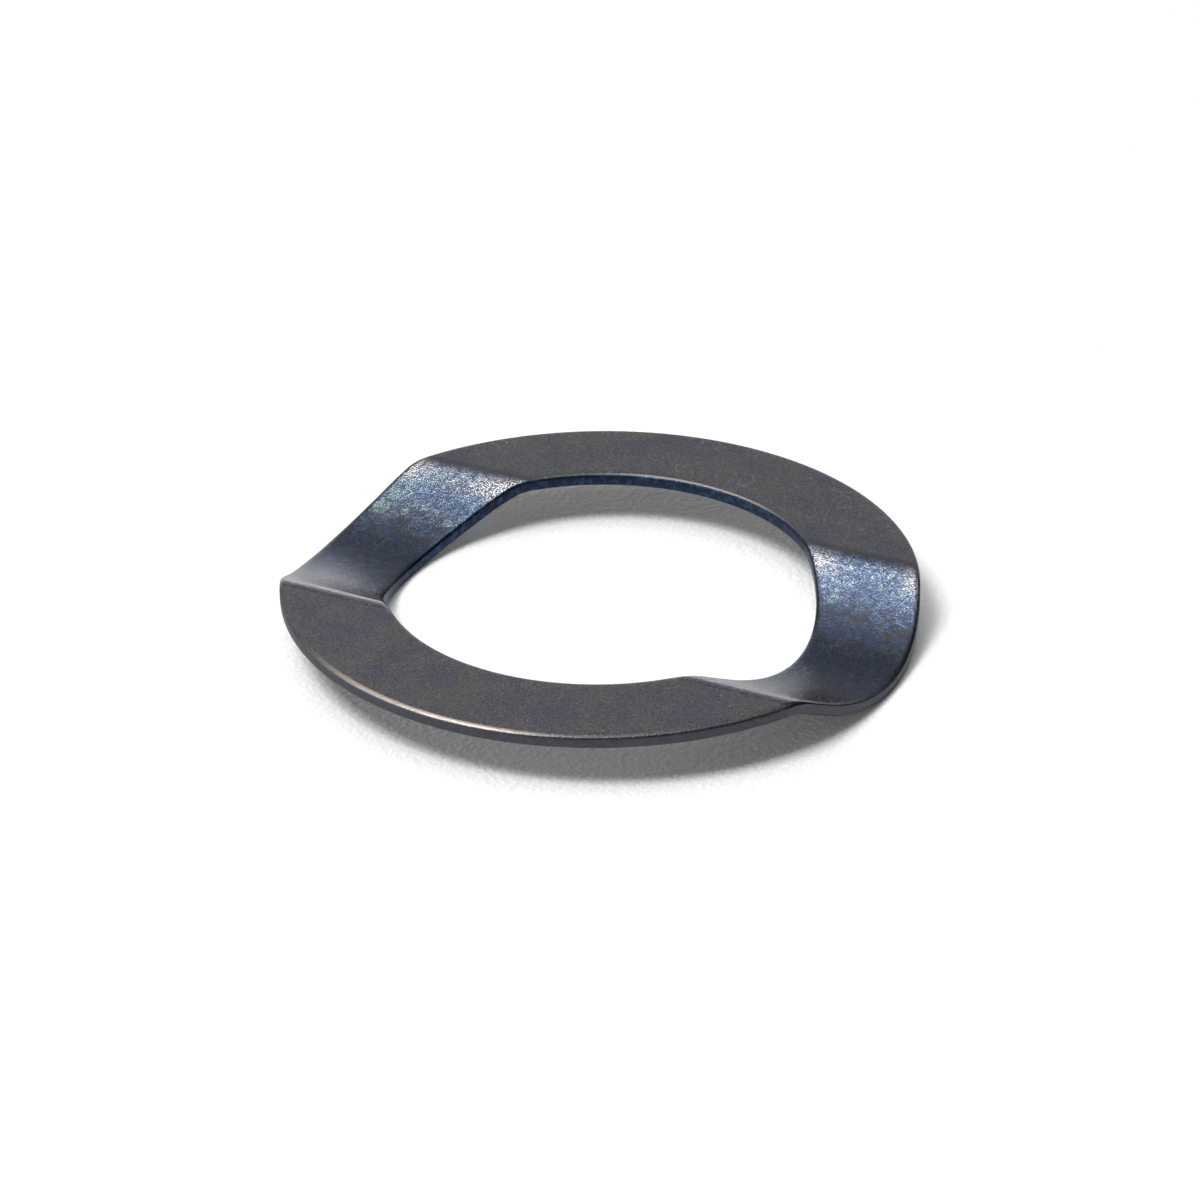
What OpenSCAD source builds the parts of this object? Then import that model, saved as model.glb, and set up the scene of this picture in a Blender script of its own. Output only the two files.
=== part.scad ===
// Crimped spring washer, made from one piece of spring steel sheet.
// A ring is pressed across its middle, so that a rounded trough stands on the
// ground at each side of the hole and two flats are held up between them.
// The hole's axis is Z, the troughs' lowest lines lie on X at z = 0, and the
// creases run along X.

/* [Ring] */
// Diameter of the hole, which goes over the shaft
bore_d = 20.3; // [19.5:0.1:21.5]
// Width of the ring, from the hole to the outside
ring_w = 4.85; // [3.5:0.05:6.5]
// Thickness of the sheet
sheet_t = 0.6; // [0.4:0.05:0.8]
// Width of the edge that the punch rolls over on the top face
roll_w = 0.3; // [0.2:0.01:0.4]
// Depth of that rolled edge
roll_d = 0.16; // [0.1:0.01:0.2]
// Radius that tumbling leaves on the edges of the underside
edge_r = 0.08; // [0.06:0.01:0.1]

/* [Waves] */
// Radius inside a trough
trough_r = 11.4; // [10.4:0.1:12.4]
// Slope of a trough's straight sides, in degrees
side_angle = 26.5; // [22:0.5:30]
// Length of a straight side
side_len = 1.25; // [0.6:0.05:2]
// Radius inside the crease between a side and a flat
crease_r = 1.6; // [1:0.1:2.2]

/* [Hidden] */
$fn = 180;

// Steps along half a trough, a crease, a whole flat and the round of one edge
trough_steps = 9;
crease_steps = 5;
flat_steps = 36;
round_steps = 3;

// The most of the sheet's thickness that a rolled edge and an underside edge may take
roll_share = 1 / 3;
edge_share = 1 / 6;

// Room above and below the ring for what cuts its two walls
cut_room = 1;

bore_r = bore_d / 2;
outer_r = bore_r + ring_w;

// The sheet's other face lies one thickness outside the inside radii
trough_under_r = trough_r + sheet_t;
crease_top_r = crease_r + sheet_t;

// Axis of a crease: its distance from the middle line, and its height
crease_y = (trough_under_r + crease_r) * sin(side_angle) + side_len * cos(side_angle);
crease_z = trough_under_r - (trough_under_r + crease_r) * cos(side_angle)
    + side_len * sin(side_angle);
free_height = crease_z + crease_top_r;

// Height of one face of the sheet at distance y from the middle line, where that
// face has radius hollow in a trough and radius ridge in a crease
function face_z(y, hollow, ridge) =
    let (
        reach = abs(y),
        side_start = hollow * sin(side_angle),
        side_end = crease_y - ridge * sin(side_angle)
    )
    reach < side_start ? trough_under_r - sqrt(hollow ^ 2 - reach ^ 2)
    : reach < side_end ? trough_under_r - hollow * cos(side_angle)
        + (reach - side_start) * tan(side_angle)
    : reach < crease_y ? crease_z + sqrt(ridge ^ 2 - (crease_y - reach) ^ 2)
    : crease_z + ridge;

function top_z(y) = face_z(y, trough_r, crease_top_r);
function under_z(y) = face_z(y, trough_under_r, crease_r);

// Distances from the middle line at which a trough, its sides and creases are drawn
half_stations = concat(
    [for (i = [1 : trough_steps]) trough_r * sin(side_angle * i / trough_steps)],
    [trough_under_r * sin(side_angle)],
    [for (i = [crease_steps : -1 : 0])
        crease_y - crease_top_r * sin(side_angle * i / crease_steps)]
);
stations = concat(
    [for (i = [len(half_stations) - 1 : -1 : 0]) -half_stations[i]],
    [0],
    half_stations
);

// The circle of radius r, anticlockwise from the start of a trough. On the flats
// its points stand on radii that fan out evenly along the wall of radius wall_r.
function half_circle(r, wall_r) =
    let (first = asin(crease_y / wall_r), turn = (180 - 2 * first) / flat_steps)
    concat(
        [for (y = stations) [sqrt(r ^ 2 - y ^ 2), y]],
        [for (i = [1 : flat_steps - 1]) r * [cos(first + i * turn), sin(first + i * turn)]]
    );
function whole_circle(r, wall_r) =
    let (half = half_circle(r, wall_r)) concat(half, -half);

// Rows of points along the ring: depth below the top face, or above the underside
function top_row(r, wall_r, depth) =
    [for (p = whole_circle(r, wall_r)) [p.x, p.y, top_z(p.y) - depth]];
function under_row(r, wall_r, depth) =
    [for (p = whole_circle(r, wall_r)) [p.x, p.y, under_z(p.y) + depth]];

// An edge rounded over width w and depth d, as [distance in from the wall, depth from
// the face]. Its last step goes on past the wall, where the wall's own cut ends it.
function on_round(i, w, d) =
    let (a = 90 * i / round_steps) [w * (1 - sin(a)), d * (1 - cos(a))];
function edge_round(w, d) = concat(
    [for (i = [0 : round_steps - 1]) on_round(i, w, d)],
    [2 * on_round(round_steps, w, d) - on_round(round_steps - 1, w, d)]
);
top_round = edge_round(roll_w, min(roll_d, roll_share * sheet_t));
under_r = min(edge_r, edge_share * sheet_t);
under_round = edge_round(under_r, under_r);

// All rows of the ring's rounded section: from the top face over the outside wall
// to the underside, and back up through the hole
rows = concat(
    [for (i = [0 : round_steps]) let (p = top_round[i])
        top_row(outer_r - p.x, outer_r, p.y)],
    [for (i = [round_steps : -1 : 0]) let (p = under_round[i])
        under_row(outer_r - p.x, outer_r, p.y)],
    [for (i = [0 : round_steps]) let (p = under_round[i])
        under_row(bore_r + p.x, bore_r, p.y)],
    [for (i = [round_steps : -1 : 0]) let (p = top_round[i])
        top_row(bore_r + p.x, bore_r, p.y)]
);

// The pressed ring with its edges rounded, before its walls are cut true
module formed_ring() {
    count = len(rows[0]);
    polyhedron(
        points = [for (row = rows) each row],
        faces = [
            for (j = [0 : len(rows) - 1], k = [0 : count - 1])
            let (
                here = j * count,
                next = (j + 1) % len(rows) * count,
                on = (k + 1) % count
            )
            each [[here + k, here + on, next + k], [here + on, next + on, next + k]]
        ]
    );
}

// The round outside wall and the round hole, straight through
module true_walls() {
    translate([0, 0, -cut_room])
    linear_extrude(free_height + 2 * cut_room)
    difference() {
        circle(outer_r);
        circle(bore_r);
    }
}

module washer() {
    color([0.24, 0.25, 0.29])
    intersection() {
        formed_ring();
        true_walls();
    }
}

washer();
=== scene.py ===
"""Crimped spring washer of blued steel sheet, standing on a pale studio floor."""
import math
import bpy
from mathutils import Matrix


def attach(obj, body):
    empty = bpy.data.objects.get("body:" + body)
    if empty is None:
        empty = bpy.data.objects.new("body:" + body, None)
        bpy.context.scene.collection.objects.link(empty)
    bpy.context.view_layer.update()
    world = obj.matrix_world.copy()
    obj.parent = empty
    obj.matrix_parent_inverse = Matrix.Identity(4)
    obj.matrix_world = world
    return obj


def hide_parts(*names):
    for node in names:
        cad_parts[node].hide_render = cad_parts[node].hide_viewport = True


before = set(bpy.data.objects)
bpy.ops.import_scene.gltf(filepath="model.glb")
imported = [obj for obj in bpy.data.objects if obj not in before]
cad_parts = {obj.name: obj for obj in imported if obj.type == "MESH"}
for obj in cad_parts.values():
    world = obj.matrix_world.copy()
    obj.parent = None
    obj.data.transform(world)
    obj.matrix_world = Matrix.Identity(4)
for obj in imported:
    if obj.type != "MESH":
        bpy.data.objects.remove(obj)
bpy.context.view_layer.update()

from types import SimpleNamespace

import bpy
from mathutils import Matrix, Vector

bl_info = {
    "name": "Crimped Spring Washer",
    "version": (1, 0, 0),
    "blender": (4, 5, 0),
    "location": "View3D > Sidebar > Washer",
    "description": "Presses a spring washer from a ring of blued steel sheet and sets up its studio",
    "category": "Add Mesh",
}

NODE = "washer"
MM = 0.001  # the ring is pressed at one unit to the millimetre, then brought to metres

# Steps in which a crease is bent on the top face and on the underside
TOP_BENDS = 6
UNDER_BENDS = 3
# Points closer than this are merged, and points this close to a fold lie on it, in millimetres
MERGE_GAP = 1e-4
FOLD_GAP = 1e-5

# Dried water drops: where each lies along X and Y, and its radius, in millimetres
WATER_SPOTS = (
    (-13.2, 5.6, 0.20), (-11.9, 5.9, 0.20), (-13.5, 4.6, 0.30), (-12.9, 4.9, 0.26), (-13.8, 3.8, 0.45),
    (-12.5, 3.8, 0.25), (-11.6, 4.3, 0.22), (-10.1, 3.7, 0.25), (10.0, 4.4, 0.30),
)

# The stage, in metres: the floor's width, the lamps' distance, each lamp's direction and width
FLOOR_WIDTH = 4.0
LAMP_DISTANCE = 0.5
KEY_LAMP = ((-0.28, -0.37, 0.886), 0.18)
PANEL_LAMP = ((-0.24, 0.06, 0.97), 0.48)


# Sizes and finishes

class WasherSizes(bpy.types.PropertyGroup):
    """Sizes of the pressed ring"""
    bore_d: bpy.props.FloatProperty(
        name="Hole", description="Diameter of the hole", default=0.0203, unit="LENGTH")
    ring_w: bpy.props.FloatProperty(
        name="Ring width", description="From the hole to the outside", default=0.00485, unit="LENGTH")
    sheet_t: bpy.props.FloatProperty(
        name="Sheet", description="Thickness of the sheet", default=0.0006, unit="LENGTH")
    roll_w: bpy.props.FloatProperty(
        name="Rolled edge", description="Width of the edge that the punch rolls over on the top face",
        default=0.0003, unit="LENGTH")
    roll_d: bpy.props.FloatProperty(
        name="Roll depth", description="Depth of that rolled edge", default=0.00016, unit="LENGTH")
    edge_r: bpy.props.FloatProperty(
        name="Lower edge", description="Round that tumbling leaves on the underside's edges",
        default=0.00008, unit="LENGTH")
    trough_r: bpy.props.FloatProperty(
        name="Trough radius", description="Radius inside a trough", default=0.0114, unit="LENGTH")
    side_angle: bpy.props.FloatProperty(
        name="Side slope", description="Slope of a trough's straight sides",
        default=math.radians(26.5), subtype="ANGLE")
    side_len: bpy.props.FloatProperty(
        name="Side length", description="Length of a straight side", default=0.00125, unit="LENGTH")
    crease_r: bpy.props.FloatProperty(
        name="Crease radius", description="Radius inside the crease between a side and a flat",
        default=0.0016, unit="LENGTH")
    turns: bpy.props.IntProperty(
        name="Turning steps", description="Steps in which the section is spun", default=720)
    columns: bpy.props.IntProperty(
        name="Columns", description="Strips across the ring", default=20)
    round_steps: bpy.props.IntProperty(
        name="Round steps", description="Steps in the round of one edge", default=5)


class BluedFinish(bpy.types.PropertyGroup):
    """Colours of the blued steel"""
    flat_colour: bpy.props.FloatVectorProperty(
        name="Flats", description="Satin dark oxide on the flats", subtype="COLOR",
        default=(0.134, 0.131, 0.131))
    violet_colour: bpy.props.FloatVectorProperty(
        name="Violet", description="Blue-violet clouds in the dark oxide", subtype="COLOR",
        default=(0.086, 0.092, 0.150))
    brown_colour: bpy.props.FloatVectorProperty(
        name="Brown", description="Red-brown tint near the rim", subtype="COLOR",
        default=(0.240, 0.120, 0.085))
    navy_colour: bpy.props.FloatVectorProperty(
        name="Navy", description="Dark oxide at the bottom of the troughs", subtype="COLOR",
        default=(0.044, 0.066, 0.120))
    scorch_colour: bpy.props.FloatVectorProperty(
        name="Scorch", description="Brown-black blotches below the blue", subtype="COLOR",
        default=(0.060, 0.052, 0.050))
    blue_colour: bpy.props.FloatVectorProperty(
        name="Blue", description="Blue oxide on the troughs' back walls", subtype="COLOR",
        default=(0.050, 0.118, 0.255))
    cyan_colour: bpy.props.FloatVectorProperty(
        name="Pale blue", description="Paler patches in the blue oxide", subtype="COLOR",
        default=(0.145, 0.235, 0.330))
    # Bare grain tips, and the painted glints and highlight in the blue and under the creases
    pale_colour: bpy.props.FloatVectorProperty(
        name="Bare tips", description="Bright tips of the grain", subtype="COLOR",
        default=(0.400, 0.375, 0.365))
    spot_colour: bpy.props.FloatVectorProperty(
        name="Water spots", description="Pale rings that dried drops left", subtype="COLOR",
        default=(0.210, 0.295, 0.295))
    # Dark oxide on the walls and in the grain; also the colour of the painted shade along the back
    # creases and rolled edges
    edge_and_shade_colour: bpy.props.FloatVectorProperty(
        name="Edge", description="Dark oxide on the sheared walls", subtype="COLOR",
        default=(0.058, 0.060, 0.070))
    hole_colour: bpy.props.FloatVectorProperty(
        name="Hole", description="Dark blue oxide on the hole's wall", subtype="COLOR",
        default=(0.018, 0.025, 0.043))
    # Bare steel and a painted highlight where the key lamp lights the rolled edges
    worn_highlight_colour: bpy.props.FloatVectorProperty(
        name="Worn edge", description="Bare steel on the worn front edge", subtype="COLOR",
        default=(0.400, 0.350, 0.310))
    flat_rough: bpy.props.FloatProperty(
        name="Flats' roughness", description="How satin the flats are",
        default=0.42, subtype="FACTOR")
    trough_rough: bpy.props.FloatProperty(
        name="Troughs' roughness", description="How satin the troughs are",
        default=0.22, subtype="FACTOR")


class StudioView(bpy.types.PropertyGroup):
    """Camera, lamps and floor"""
    azimuth: bpy.props.FloatProperty(
        name="Azimuth", description="Camera's turn round the washer",
        default=math.radians(26.77), subtype="ANGLE")
    elevation: bpy.props.FloatProperty(
        name="Elevation", description="Camera's height above the horizon",
        default=math.radians(28.93), subtype="ANGLE")
    roll: bpy.props.FloatProperty(
        name="Roll", description="Camera's lean to one side",
        default=math.radians(-0.63), subtype="ANGLE")
    distance: bpy.props.FloatProperty(
        name="Distance", description="Camera's distance from its aim", default=0.2337, unit="LENGTH")
    aim: bpy.props.FloatVectorProperty(
        name="Aim", description="Point that the camera looks at", subtype="XYZ",
        default=(-0.00075, 0.00148, 0.0003))
    lens: bpy.props.FloatProperty(
        name="Lens", description="Focal length in millimetres", default=148.0)
    key_watts: bpy.props.FloatProperty(
        name="Key", description="Power of the small softbox at the front left", default=1.70)
    panel_watts: bpy.props.FloatProperty(
        name="Panel", description="Power of the broad panel overhead", default=1.40)
    backdrop_level: bpy.props.FloatProperty(
        name="Backdrop", description="Level of the white backdrop behind the washer", default=2.00)
    room_level: bpy.props.FloatProperty(
        name="Room", description="Level of the rest of the room", default=0.09)
    fill_level: bpy.props.FloatProperty(
        name="Fill", description="Level of the low pale wall at the front left", default=4.00)
    floor_lift: bpy.props.FloatProperty(
        name="Floor lift", description="Glow that brings the bare floor up to white", default=0.06)


# Shader maths

class Value:
    """A number that changes over the surface; operators on it add Math nodes."""

    def __init__(self, shades, socket):
        self.shades = shades
        self.socket = socket

    def maths(self, operation, *others, swap=False):
        terms = [self, *others]
        if swap:
            terms.reverse()
        made = self.shades.node("ShaderNodeMath", {"operation": operation}, dict(enumerate(terms)))
        return self.shades.value(made.outputs[0])

    def __add__(self, other):
        return self.maths("ADD", other)

    def __sub__(self, other):
        return self.maths("SUBTRACT", other)

    def __mul__(self, other):
        return self.maths("MULTIPLY", other)

    def __rsub__(self, other):
        return self.maths("SUBTRACT", other, swap=True)

    __radd__ = __add__
    __rmul__ = __mul__

    def __abs__(self):
        return self.maths("ABSOLUTE")

    def ramp(self, low, high):
        """Smooth step from 0 at low to 1 at high."""
        made = self.shades.node(
            "ShaderNodeMapRange", {"interpolation_type": "SMOOTHSTEP"},
            {"Value": self, "From Min": low, "From Max": high})
        return self.shades.value(made.outputs[0])


class Shades:
    """The node tree of one material or world."""

    def __init__(self, owner):
        self.owner = owner
        owner.use_nodes = True
        self.tree = owner.node_tree
        self.tree.nodes.clear()

    def node(self, kind, settings=None, sockets=None):
        """Any node: its settings first, then the values or links of its sockets."""
        made = self.tree.nodes.new(kind)
        for name, setting in (settings or {}).items():
            setattr(made, name, setting)
        for name, given in (sockets or {}).items():
            given = getattr(given, "socket", given)
            if isinstance(given, bpy.types.NodeSocket):
                self.tree.links.new(given, made.inputs[name])
            else:
                made.inputs[name].default_value = given
        return made

    def value(self, socket):
        return Value(self, socket)

    def millimetres(self):
        """The object's own coordinates in millimetres."""
        place = self.node("ShaderNodeTexCoord").outputs["Object"]
        return self.node(
            "ShaderNodeVectorMath", {"operation": "MULTIPLY"}, {0: place, 1: [1 / MM] * 3}).outputs[0]

    def noise(self, place, scale, detail, roughness=0.5):
        made = self.node(
            "ShaderNodeTexNoise", None,
            {"Vector": place, "Scale": scale, "Detail": detail, "Roughness": roughness})
        return self.value(made.outputs["Fac"])

    def specks(self, place, scale, size):
        """Sparse dots, about one to every fifth cell."""
        cells = self.node("ShaderNodeTexVoronoi", None, {"Vector": place, "Scale": scale}).outputs
        chosen = self.parts(cells["Color"])[0].ramp(0.80, 0.81)
        return self.value(cells["Distance"]).ramp(size, size * 0.6) * chosen

    def mix(self, factor, first, second):
        """Colour that goes from first to second."""
        made = self.node("ShaderNodeMix", {"data_type": "RGBA"}, {"Factor": factor})
        for name, given in (("A", first), ("B", second)):
            socket = next(end for end in made.inputs if end.name == name and end.type == "RGBA")
            if isinstance(given, bpy.types.NodeSocket):
                self.tree.links.new(given, socket)
            else:
                socket.default_value = (*given, 1.0)
        return next(end for end in made.outputs if end.type == "RGBA")

    def parts(self, vector):
        """The three parts of a vector."""
        made = self.node("ShaderNodeSeparateXYZ", None, {0: vector})
        return [self.value(socket) for socket in made.outputs]

    def finish(self, shader, output="ShaderNodeOutputMaterial"):
        self.node(output, None, {"Surface": shader})
        return self.owner


# The washer

class Wave:
    """Section of the pressed sheet along Y, in millimetres."""

    def __init__(self, sizes):
        self.bore_r = sizes.bore_d / 2 / MM
        self.outer_r = self.bore_r + sizes.ring_w / MM
        self.sheet_t = sizes.sheet_t / MM
        self.slope = sizes.side_angle
        self.trough_r = sizes.trough_r / MM
        self.crease_r = sizes.crease_r / MM
        self.under_r = self.trough_r + self.sheet_t
        self.top_r = self.crease_r + self.sheet_t
        reach = self.under_r + self.crease_r
        side = sizes.side_len / MM
        self.crease_y = reach * math.sin(self.slope) + side * math.cos(self.slope)
        self.crease_z = self.under_r - reach * math.cos(self.slope) + side * math.sin(self.slope)
        self.height = self.crease_z + self.top_r
        self.drop = self.height - self.sheet_t

    def face(self, y, hollow, ridge):
        """Height of the face that has radius hollow in a trough and ridge in a crease."""
        y = abs(y)
        start = hollow * math.sin(self.slope)
        if y < start:
            return self.under_r - math.sqrt(hollow ** 2 - y ** 2)
        if y < self.crease_y - ridge * math.sin(self.slope):
            return self.under_r - hollow * math.cos(self.slope) + (y - start) * math.tan(self.slope)
        if y < self.crease_y:
            return self.crease_z + math.sqrt(ridge ** 2 - (self.crease_y - y) ** 2)
        return self.crease_z + ridge

    def press(self, y, z):
        """How far down the press takes a point of the flat ring."""
        if self.height - z < z - self.drop:
            return self.height - self.face(y, self.trough_r, self.top_r)
        return self.drop - self.face(y, self.under_r, self.crease_r)

    def folds(self):
        """Distances from the middle at which the sheet starts, carries on or ends a bend."""
        lines = {self.trough_r * math.sin(self.slope), self.under_r * math.sin(self.slope)}
        for radius, steps in ((self.top_r, TOP_BENDS), (self.crease_r, UNDER_BENDS)):
            for i in range(steps + 1):
                lines.add(self.crease_y - radius * math.sin(self.slope * i / steps))
        return sorted(round(y, 6) for y in lines)


def pick_edges(piece, wanted):
    """Selects, in edit mode, the edges whose two ends pass the test."""
    bpy.ops.object.mode_set(mode="OBJECT")
    points = piece.data.vertices
    for part in (points, piece.data.polygons):
        for item in part:
            item.select = False
    for edge in piece.data.edges:
        edge.select = wanted(*(points[i].co for i in edge.vertices))
    bpy.ops.object.mode_set(mode="EDIT")
    bpy.ops.mesh.select_mode(type="EDGE")


def apply_modifier(piece, kind, **settings):
    """Adds a modifier, sets it and applies it."""
    modifier = piece.modifiers.new(kind.title(), kind)
    for name, setting in settings.items():
        setattr(modifier, name, setting)
    bpy.ops.object.modifier_apply(modifier=modifier.name)


def round_corners(ring, wanted, radius, steps):
    """Rounds the section's corners at both ends of the edge that passes the test."""
    pick_edges(ring, wanted)
    bpy.ops.mesh.bevel(affect="VERTICES", offset=radius / MM, segments=steps, profile=0.5)
    bpy.ops.object.mode_set(mode="OBJECT")


def turned_ring(sizes, wave):
    """Flat ring with rounded edges: its section, spun about the hole's axis."""
    bpy.ops.object.select_all(action="DESELECT")
    bpy.ops.mesh.primitive_plane_add(size=1, rotation=(math.pi / 2, 0, 0))
    ring = bpy.context.object
    ring.name = ring.data.name = "pressed_ring"
    # The rolled edge is wider than deep, so the section is rounded while it is squeezed
    squeeze = sizes.roll_d / sizes.roll_w
    ring.scale = ((wave.outer_r - wave.bore_r) * squeeze, wave.sheet_t, 1)
    bpy.ops.object.transform_apply(location=True, rotation=True, scale=True)
    round_corners(ring, lambda a, b: min(a.z, b.z) > 0, sizes.roll_d, sizes.round_steps)
    ring.scale = (1 / squeeze, 1, 1)
    bpy.ops.object.transform_apply(location=True, rotation=True, scale=True)
    round_corners(ring, lambda a, b: max(a.z, b.z) < 0, sizes.edge_r, sizes.round_steps)
    ring.location = ((wave.bore_r + wave.outer_r) / 2, 0, wave.height - wave.sheet_t / 2)
    bpy.ops.object.transform_apply(location=True, rotation=True, scale=True)
    bpy.ops.object.mode_set(mode="EDIT")
    bpy.ops.mesh.select_all(action="SELECT")
    bpy.ops.mesh.delete(type="ONLY_FACE")
    half_width = (wave.outer_r - wave.bore_r) / 2
    pick_edges(ring, lambda a, b: abs(a.x - b.x) > half_width)
    bpy.ops.mesh.subdivide(number_cuts=sizes.columns - 1)
    bpy.ops.mesh.select_all(action="SELECT")
    bpy.ops.mesh.spin(
        steps=sizes.turns, angle=2 * math.pi, center=(0, 0, 0), axis=(0, 0, 1), use_auto_merge=True)
    bpy.ops.mesh.select_all(action="SELECT")
    bpy.ops.mesh.remove_doubles(threshold=MERGE_GAP)
    bpy.ops.mesh.normals_make_consistent(inside=False)
    return ring


class WASHER_OT_press(bpy.types.Operator):
    """Turns a flat ring, scores it at its folds and presses it into its wave"""
    bl_idname = "washer.press"
    bl_label = "Press Washer"

    def execute(self, context):
        sizes = context.scene.washer_sizes
        wave = Wave(sizes)
        ring = turned_ring(sizes, wave)
        for fold in wave.folds():
            for y in (-fold, fold):
                bpy.ops.mesh.select_all(action="SELECT")
                bpy.ops.mesh.bisect(plane_co=(0, y, 0), plane_no=(0, 1, 0), threshold=FOLD_GAP)
        bpy.ops.object.mode_set(mode="OBJECT")
        pressed = ring.vertex_groups.new(name="pressed")
        for point in ring.data.vertices:
            share = wave.press(point.co.y, point.co.z) / wave.drop
            pressed.add([point.index], share, "REPLACE")
        apply_modifier(
            ring, "DISPLACE", direction="Z", mid_level=0, strength=-wave.drop, vertex_group=pressed.name)
        ring.vertex_groups.clear()
        ring.scale = (MM, MM, MM)
        bpy.ops.object.transform_apply(location=True, rotation=True, scale=True)
        bpy.ops.object.shade_smooth()
        apply_modifier(ring, "WEIGHTED_NORMAL", mode="FACE_AREA", weight=50)
        ring.data.materials.append(blued_steel(context.scene.washer_finish, wave))
        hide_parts(NODE)
        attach(ring, "root")
        return {"FINISHED"}


# The finish

def sheet_noises(shades, place):
    """Noises that the finish is made of, from the widest to the finest."""
    return SimpleNamespace(
        clouds=shades.noise(place, 0.45, 4.0, 0.6),
        patches=shades.noise(place, 1.5, 4.0, 0.65),
        mottle=shades.noise(place, 3.4, 3.0, 0.6),
        grain=shades.noise(place, 10.0, 2.0, 0.6),
        fine=shades.noise(place, 13.0, 1.5, 0.6),
    )


def sheet_zones(shades, wave, place, noise):
    """Parts of the surface, each 1 where it lies and 0 elsewhere; all places are in millimetres."""
    x, y, z = shades.parts(place)
    radius = (x * x + y * y).maths("SQRT")
    from_hole = radius - wave.bore_r
    from_rim = wave.outer_r - radius
    outer_roll = from_rim.ramp(0.26, 0.18)
    inner_roll = from_hole.ramp(0.24, 0.17)
    # Painted highlight, partly bare steel: strips on the front and inner rolled edges where the key
    # lamp's highlight falls
    worn_front_highlight = outer_roll * y.ramp(-8.0, -12.0) * x.ramp(-10.0, -4.5) * x.ramp(5.5, 1.0)
    worn_back_highlight = inner_roll * y.ramp(8.0, 9.8) * x.ramp(-5.0, -2.0) * x.ramp(6.5, 3.5) * 0.7
    trough = abs(y).ramp(wave.crease_y + 0.1, wave.crease_y - 0.7)
    right = x.ramp(-4.0, 4.0)
    # The oxide colours meet along ragged lines
    drift = (noise.clouds - 0.5) * 3.5 + (noise.patches - 0.5) * 1.8 + (noise.grain - 0.5) * 3.0
    return SimpleNamespace(
        right=right,
        back_flat=y.ramp(7.5, 9.0),
        back_rim=from_rim.ramp(1.6, 0.3) * y.ramp(-2.0, 9.0),
        # Painted shade: a dark line along the back creases
        back_crease_shade=abs(y - wave.crease_y).ramp(0.34, 0.06),
        front_bend=abs(y + wave.crease_y - 0.4).ramp(0.80, 0.35),
        # In the troughs
        trough=trough,
        front=trough * y.ramp(-1.5, -4.5),
        navy=trough * (y + drift * 0.6).ramp(-4.5, -0.5),
        blue=trough * (y + drift - right * 0.5).ramp(2.4, 6.0),
        scorch=trough * abs(y - 2.4).ramp(2.4, 0.8) * noise.patches.ramp(0.52, 0.40),
        haze=trough * x.ramp(-11.6, -13.6) * y.ramp(2.6, 4.0) * noise.mottle.ramp(0.36, 0.62),
        under_crease=trough * y.ramp(4.9, 6.2),
        # At the edges
        ends=from_hole.ramp(1.8, 0.3) + from_rim.ramp(1.3, 0.2),
        fringe=abs(from_rim - 0.30).ramp(0.10, 0.02) * noise.clouds.ramp(0.36, 0.56),
        # Painted shade on the rolled edges that face the back and the left
        rolled_edge_shade=outer_roll * (y.ramp(-3.0, 3.0) + x.ramp(-11.0, -13.0)),
        # Painted highlight with bare steel, kept to the top of the rolled edge
        worn_and_highlight=(worn_front_highlight + worn_back_highlight) * z.ramp(wave.height - 0.13, wave.height - 0.08),
        outer_wall=from_rim.ramp(0.08, 0.0),
        hole_wall=from_hole.ramp(0.12, 0.06),
    )


def oxide_colours(shades, finish, noise, zone):
    """Colours that the heat left: dark flats, and the blues, violets and browns of the troughs."""
    colour = shades.mix(noise.clouds.ramp(0.42, 0.68) * 0.7, finish.flat_colour, finish.violet_colour)
    brown = noise.patches.ramp(0.56, 0.70) * zone.back_rim * 0.6 + zone.fringe * 0.35
    colour = shades.mix(brown, colour, finish.brown_colour)
    navy = zone.navy * (1.1 - noise.mottle.ramp(0.42, 0.62) * 0.55)
    colour = shades.mix(navy, colour, finish.navy_colour)
    paler = (noise.patches + noise.grain).ramp(0.88, 1.16)
    blues = shades.mix(paler, finish.blue_colour, finish.cyan_colour)
    colour = shades.mix(zone.blue, colour, blues)
    colour = shades.mix(zone.blue * noise.mottle.ramp(0.58, 0.36) * 0.55, colour, finish.violet_colour)
    flecks = zone.trough * (1.0 - zone.blue) * noise.grain.ramp(0.52, 0.66)
    colour = shades.mix(flecks * 0.4, colour, finish.blue_colour)
    colour = shades.mix(zone.scorch * 0.8, colour, finish.scorch_colour)
    return shades.mix(noise.fine.ramp(0.60, 0.36) * 0.85, colour, finish.edge_and_shade_colour)


def water_spots(shades, place, wobble):
    """Rings that dried drops left, paler at the rim than inside."""
    across = shades.node(
        "ShaderNodeVectorMath", {"operation": "MULTIPLY"}, {0: place, 1: (1.0, 1.0, 0.0)}).outputs[0]

    def spot(x, y, size):
        away = shades.value(shades.node(
            "ShaderNodeVectorMath", {"operation": "DISTANCE"},
            {0: across, 1: (x, y, 0.0)}).outputs["Value"]) + wobble
        inside = away.ramp(size, size - 0.08)
        rim = away.ramp(size - 0.16, size - 0.06)
        return inside * (0.25 + rim * 0.35)

    return sum(spot(*drop) for drop in WATER_SPOTS)


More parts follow.
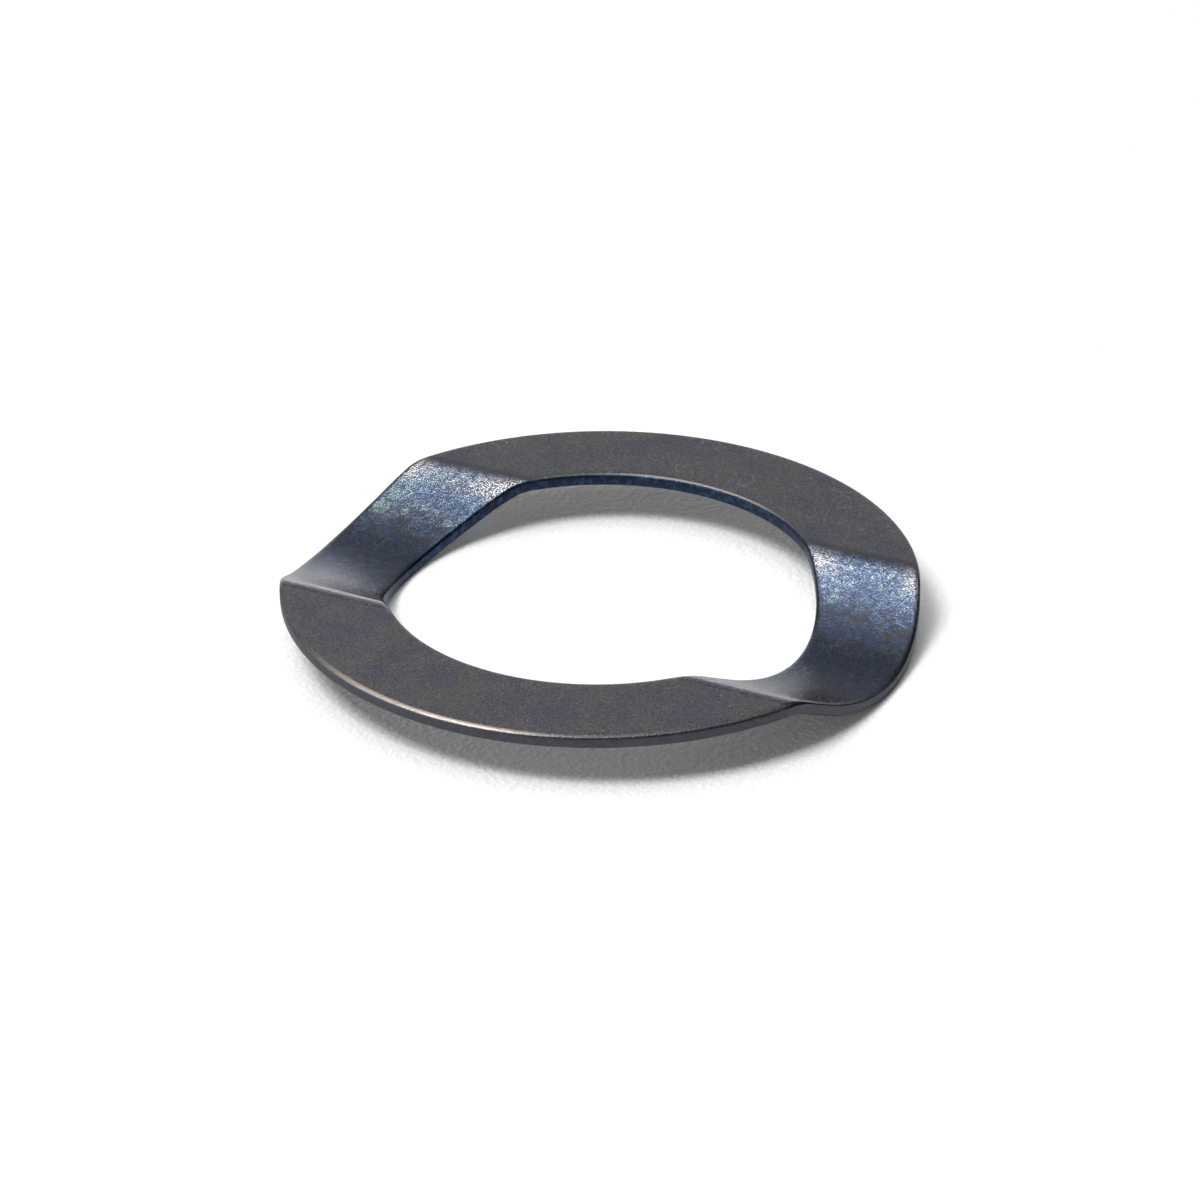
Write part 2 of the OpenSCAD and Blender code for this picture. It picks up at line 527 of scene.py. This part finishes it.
def surface_marks(shades, finish, noise, zone, place, colour):
    """What lies on the oxide: bare tips of the grain with painted glints in the blue and under the
    creases, hairlines, dust and dried drops.
    """
    # Painted glints and painted highlight under the creases, partly bare grain tips
    glints = abs(noise.grain - 0.52).ramp(0.06, 0.02) * noise.mottle.ramp(0.42, 0.62)
    tips = zone.under_crease * (zone.ends + 0.35 - zone.right * 0.35) * noise.grain.ramp(0.35, 0.60)
    hairs = abs(shades.noise(place, 0.42, 1.0) - 0.5).ramp(0.008, 0.002)
    hairs = hairs * noise.patches.ramp(0.46, 0.58)
    # Pale bare tips, hairlines and dust, with the painted glints and highlight
    bare = (glints * (zone.blue * 0.45 + zone.under_crease * 0.4)
            + tips * 0.8
            + hairs * zone.back_flat * 0.25
            + noise.fine.ramp(0.62, 0.76) * (0.4 - zone.trough * 0.2)
            + shades.specks(place, 1.2, 0.07))
    colour = shades.mix(bare, colour, finish.pale_colour)
    spots = water_spots(shades, place, (noise.grain - 0.5) * 0.5)
    return shades.mix(spots + zone.haze * 0.28, colour, finish.spot_colour)


def edge_colours(shades, finish, noise, zone, colour):
    """Painted shade along the back creases and on the back and left rolled edges, dark sheared walls,
    and bare steel with a painted highlight where an edge is worn.
    """
    # Painted shade along the back creases and on the rolled edges that face the back and left
    colour = shades.mix(zone.back_crease_shade * 0.7 + zone.rolled_edge_shade * 0.6, colour, finish.edge_and_shade_colour)
    colour = shades.mix(zone.outer_wall * (0.5 + noise.mottle * 0.8), colour, finish.edge_and_shade_colour)
    # Bare steel and a painted highlight on the front edge and the back lobe's inner edge
    colour = shades.mix(zone.worn_and_highlight * (0.4 + noise.clouds * 0.8), colour, finish.worn_highlight_colour)
    hole = shades.mix(noise.mottle.ramp(0.45, 0.65) * 0.3, finish.hole_colour, finish.blue_colour)
    return shades.mix(zone.hole_wall, colour, hole)


def blued_steel(finish, wave):
    """Blued spring steel: satin dark flats, troughs that turn from blue to grey, dark walls."""
    shades = Shades(bpy.data.materials.new("blued_steel"))
    place = shades.millimetres()
    noise = sheet_noises(shades, place)
    zone = sheet_zones(shades, wave, place, noise)
    colour = oxide_colours(shades, finish, noise, zone)
    colour = surface_marks(shades, finish, noise, zone, place, colour)
    colour = edge_colours(shades, finish, noise, zone, colour)
    rough = finish.flat_rough + zone.trough * (finish.trough_rough - finish.flat_rough)
    rough = rough + zone.front * 0.03 - zone.front_bend * 0.20 + (noise.fine - 0.5) * 0.15
    height = (noise.fine * (0.3 - zone.front * 0.10 - zone.front_bend * 0.15)
              + noise.grain * (0.12 + zone.blue * (0.55 - zone.right * 0.25)))
    bump = shades.node("ShaderNodeBump", None, {"Strength": 0.8, "Distance": 0.1 * MM, "Height": height})
    shader = shades.node("ShaderNodeBsdfPrincipled", None, {
        "Base Color": colour,
        "Metallic": 1.0,
        "Specular Tint": (0.74, 0.74, 0.75, 1.0),
        "Roughness": rough,
        "Normal": bump.outputs[0],
    })
    return shades.finish(shader.outputs[0])


# The stage

def pale_floor(studio):
    """White floor that takes shadows; a glow brings its bare part up to white."""
    shades = Shades(bpy.data.materials.new("pale_floor"))
    rays = shades.node("ShaderNodeLightPath").outputs
    seen = sum(shades.value(rays[f"Is {kind} Ray"]) for kind in ("Camera", "Glossy", "Transmission"))
    grain = shades.noise(shades.millimetres(), 3.4, 1.0)
    bump = shades.node("ShaderNodeBump", None, {"Strength": 0.7, "Distance": 0.09 * MM, "Height": grain})
    matt = shades.node("ShaderNodeBsdfDiffuse", None, {
        "Color": (0.90, 0.90, 0.90, 1.0), "Normal": bump.outputs[0]})
    glow = shades.node("ShaderNodeEmission", None, {"Strength": seen * studio.floor_lift})
    both = shades.node("ShaderNodeAddShader", None, {0: matt.outputs[0], 1: glow.outputs[0]})
    return shades.finish(both.outputs[0])


def softbox(name, towards, width, watts):
    """Square lamp that faces the washer from the given direction."""
    towards = Vector(towards).normalized()
    bpy.ops.object.light_add(type="AREA", location=towards * LAMP_DISTANCE)
    lamp = bpy.context.object
    lamp.name = lamp.data.name = name
    lamp.data.size = width
    lamp.data.energy = watts
    lamp.rotation_euler = towards.to_track_quat("Z", "Y").to_euler()


def light_room(scene, studio):
    """Dim room with a white backdrop behind the washer and a low pale wall at the front left."""
    shades = Shades(bpy.data.worlds.new("room"))
    x, y, z = shades.parts(shades.node("ShaderNodeTexCoord").outputs["Generated"])
    behind = y * math.cos(studio.azimuth) - x * math.sin(studio.azimuth)
    # The backdrop is brightest in a strip near the floor
    strip = z.ramp(0.16, 0.04)
    backdrop = behind.ramp(0.60, 0.95) * (z.ramp(0.70, 0.30) * 0.45 + strip * 1.6)
    wall = x.ramp(-0.2, -0.8) * y.ramp(0.3, -0.3) * z.ramp(0.5, 0.1)
    level = studio.room_level + backdrop * studio.backdrop_level + wall * studio.fill_level
    glow = shades.node("ShaderNodeBackground", None, {"Color": (1.0, 1.0, 1.0, 1.0), "Strength": level})
    scene.world = shades.finish(glow.outputs[0], "ShaderNodeOutputWorld")


class WASHER_OT_studio(bpy.types.Operator):
    """Lays the floor and sets the lamps and the camera"""
    bl_idname = "washer.studio"
    bl_label = "Set Up Studio"

    def execute(self, context):
        studio = context.scene.washer_studio
        bpy.ops.object.select_all(action="DESELECT")
        bpy.ops.mesh.primitive_plane_add(size=FLOOR_WIDTH, location=(0, 0, 0))
        floor = context.object
        floor.name = floor.data.name = "floor"
        floor.data.materials.append(pale_floor(studio))

        softbox("key_softbox", *KEY_LAMP, studio.key_watts)
        softbox("overhead_panel", *PANEL_LAMP, studio.panel_watts)
        light_room(context.scene, studio)

        bpy.ops.object.camera_add()
        camera = context.object
        camera.name = camera.data.name = "photo_camera"
        flat = math.cos(studio.elevation)
        back = Vector((math.sin(studio.azimuth) * flat, -math.cos(studio.azimuth) * flat,
                       math.sin(studio.elevation)))
        right = Vector((0, 0, 1)).cross(back).normalized()
        up = back.cross(right)
        lean = Matrix.Rotation(studio.roll, 3, back)
        axes = Matrix((lean @ right, lean @ up, back)).transposed()
        camera.matrix_world = Matrix.Translation(
            Vector(studio.aim) + back * studio.distance) @ axes.to_4x4()
        camera.data.sensor_width = 36.0
        camera.data.lens = studio.lens
        camera.data.clip_start = 0.01
        context.scene.camera = camera
        context.scene.view_settings.view_transform = "Standard"
        return {"FINISHED"}


class WASHER_PT_panel(bpy.types.Panel):
    """Makes the washer and its studio"""
    bl_idname = "WASHER_PT_panel"
    bl_label = "Crimped Spring Washer"
    bl_space_type = "VIEW_3D"
    bl_region_type = "UI"
    bl_category = "Washer"

    def draw(self, context):
        for group_name in GROUPS:
            group = getattr(context.scene, group_name)
            for name in group.__annotations__:
                self.layout.prop(group, name)
        for operator in (WASHER_OT_press, WASHER_OT_studio):
            self.layout.operator(operator.bl_idname)


CLASSES = (WasherSizes, BluedFinish, StudioView, WASHER_OT_press, WASHER_OT_studio, WASHER_PT_panel)
GROUPS = {"washer_sizes": WasherSizes, "washer_finish": BluedFinish, "washer_studio": StudioView}


def register():
    for cls in CLASSES:
        bpy.utils.register_class(cls)
    for name, group in GROUPS.items():
        setattr(bpy.types.Scene, name, bpy.props.PointerProperty(type=group))


def unregister():
    for name in GROUPS:
        delattr(bpy.types.Scene, name)
    for cls in reversed(CLASSES):
        bpy.utils.unregister_class(cls)


def main():
    register()
    bpy.ops.washer.press()
    bpy.ops.washer.studio()


if __name__ == "__main__":
    main()
